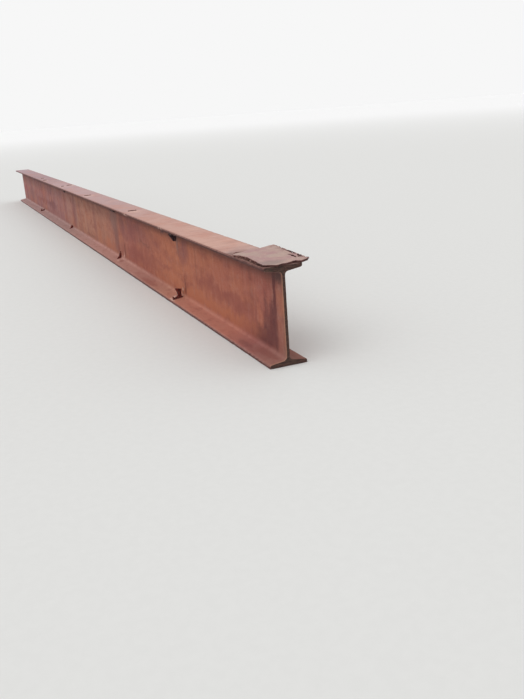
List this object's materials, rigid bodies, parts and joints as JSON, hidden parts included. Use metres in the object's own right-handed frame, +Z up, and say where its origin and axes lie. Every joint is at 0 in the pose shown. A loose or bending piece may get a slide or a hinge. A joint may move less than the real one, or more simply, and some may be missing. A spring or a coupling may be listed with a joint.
{
  "type": "steel i-beam",
  "caption": "Long rusted steel I-beam with tapered flanges, for carrying loads; torn remains of a plate and of cross stiffeners are still welded to it.",
  "frame": {"origin": "on the underside of the bottom flange, on the centre plane of the web, at mid-length", "axes": "+X along the beam, away from the end with the plate; +Y across it, towards the side with the stiffener remains; +Z up from the bottom flange to the top flange"},
  "size_m": [7.013, 0.192, 0.349],
  "materials": {
    "beam_rust": "rusted all over, orange brown with dark streaks",
    "plate_rust": "weathered, flaking, dusty pinkish brown rust",
    "remnant_rust": "dark brown rust on torn edges",
    "bead_rust": "dark brown rusted weld"
  },
  "bodies": {
    "root": {"beam": "beam_rust", "cover_plate": "plate_rust", "stiffener_foot_1": "remnant_rust", "stiffener_foot_2": "remnant_rust", "stiffener_foot_3": "remnant_rust", "stiffener_foot_4": "remnant_rust", "stiffener_head_1": "remnant_rust", "stiffener_head_2": "remnant_rust", "stiffener_head_3": "remnant_rust", "weld_bead_1": "bead_rust", "weld_bead_2": "bead_rust", "weld_bead_3": "bead_rust", "weld_bead_4": "bead_rust", "weld_bead_5": "bead_rust", "weld_bead_6": "bead_rust"}
  },
  "joints": []
}
